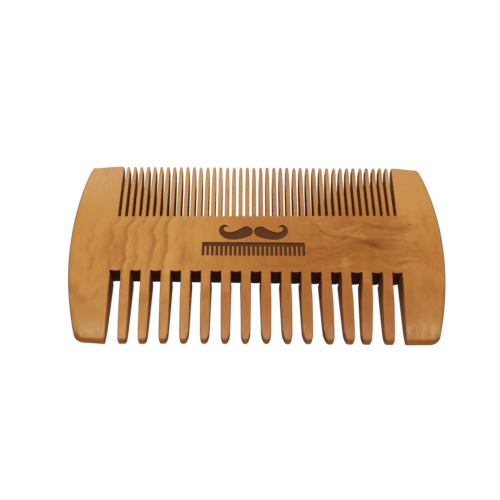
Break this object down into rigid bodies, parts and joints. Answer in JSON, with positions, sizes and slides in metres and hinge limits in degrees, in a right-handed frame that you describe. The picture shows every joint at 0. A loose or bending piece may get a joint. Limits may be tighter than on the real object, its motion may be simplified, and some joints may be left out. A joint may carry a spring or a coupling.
{
  "type": "beard comb",
  "caption": "Double-sided wooden beard comb: coarse teeth on one long edge, fine teeth on the other, a plain spine between them and bowed guards at both ends.",
  "frame": {"origin": "middle of the back face, at the height of the surface that the comb lies on", "axes": "+X along the comb's length, +Y across it from the coarse tips to the fine tips, +Z out of the front face, through the board's thickness"},
  "size_m": [0.1, 0.0536, 0.0074],
  "materials": {
    "pearwood": "sanded smooth and waxed to a satin sheen, honey tan to orange brown, grain along the teeth"
  },
  "bodies": {
    "root": {"spine": "pearwood", "left_guard": "pearwood", "right_guard": "pearwood", "coarse_tooth_01": "pearwood", "coarse_tooth_02": "pearwood", "coarse_tooth_03": "pearwood", "coarse_tooth_04": "pearwood", "coarse_tooth_05": "pearwood", "coarse_tooth_06": "pearwood", "coarse_tooth_07": "pearwood", "coarse_tooth_08": "pearwood", "coarse_tooth_09": "pearwood", "coarse_tooth_10": "pearwood", "coarse_tooth_11": "pearwood", "coarse_tooth_12": "pearwood", "coarse_tooth_13": "pearwood", "coarse_tooth_14": "pearwood", "fine_tooth_01": "pearwood", "fine_tooth_02": "pearwood", "fine_tooth_03": "pearwood", "fine_tooth_04": "pearwood", "fine_tooth_05": "pearwood", "fine_tooth_06": "pearwood", "fine_tooth_07": "pearwood", "fine_tooth_08": "pearwood", "fine_tooth_09": "pearwood", "fine_tooth_10": "pearwood", "fine_tooth_11": "pearwood", "fine_tooth_12": "pearwood", "fine_tooth_13": "pearwood", "fine_tooth_14": "pearwood", "fine_tooth_15": "pearwood", "fine_tooth_16": "pearwood", "fine_tooth_17": "pearwood", "fine_tooth_18": "pearwood", "fine_tooth_19": "pearwood", "fine_tooth_20": "pearwood", "fine_tooth_21": "pearwood", "fine_tooth_22": "pearwood", "fine_tooth_23": "pearwood", "fine_tooth_24": "pearwood", "fine_tooth_25": "pearwood", "fine_tooth_26": "pearwood", "fine_tooth_27": "pearwood", "fine_tooth_28": "pearwood", "fine_tooth_29": "pearwood", "fine_tooth_30": "pearwood", "fine_tooth_31": "pearwood", "fine_tooth_32": "pearwood", "fine_tooth_33": "pearwood", "fine_tooth_34": "pearwood", "fine_tooth_35": "pearwood", "fine_tooth_36": "pearwood", "fine_tooth_37": "pearwood", "fine_tooth_38": "pearwood", "fine_tooth_39": "pearwood", "fine_tooth_40": "pearwood"}
  },
  "joints": []
}
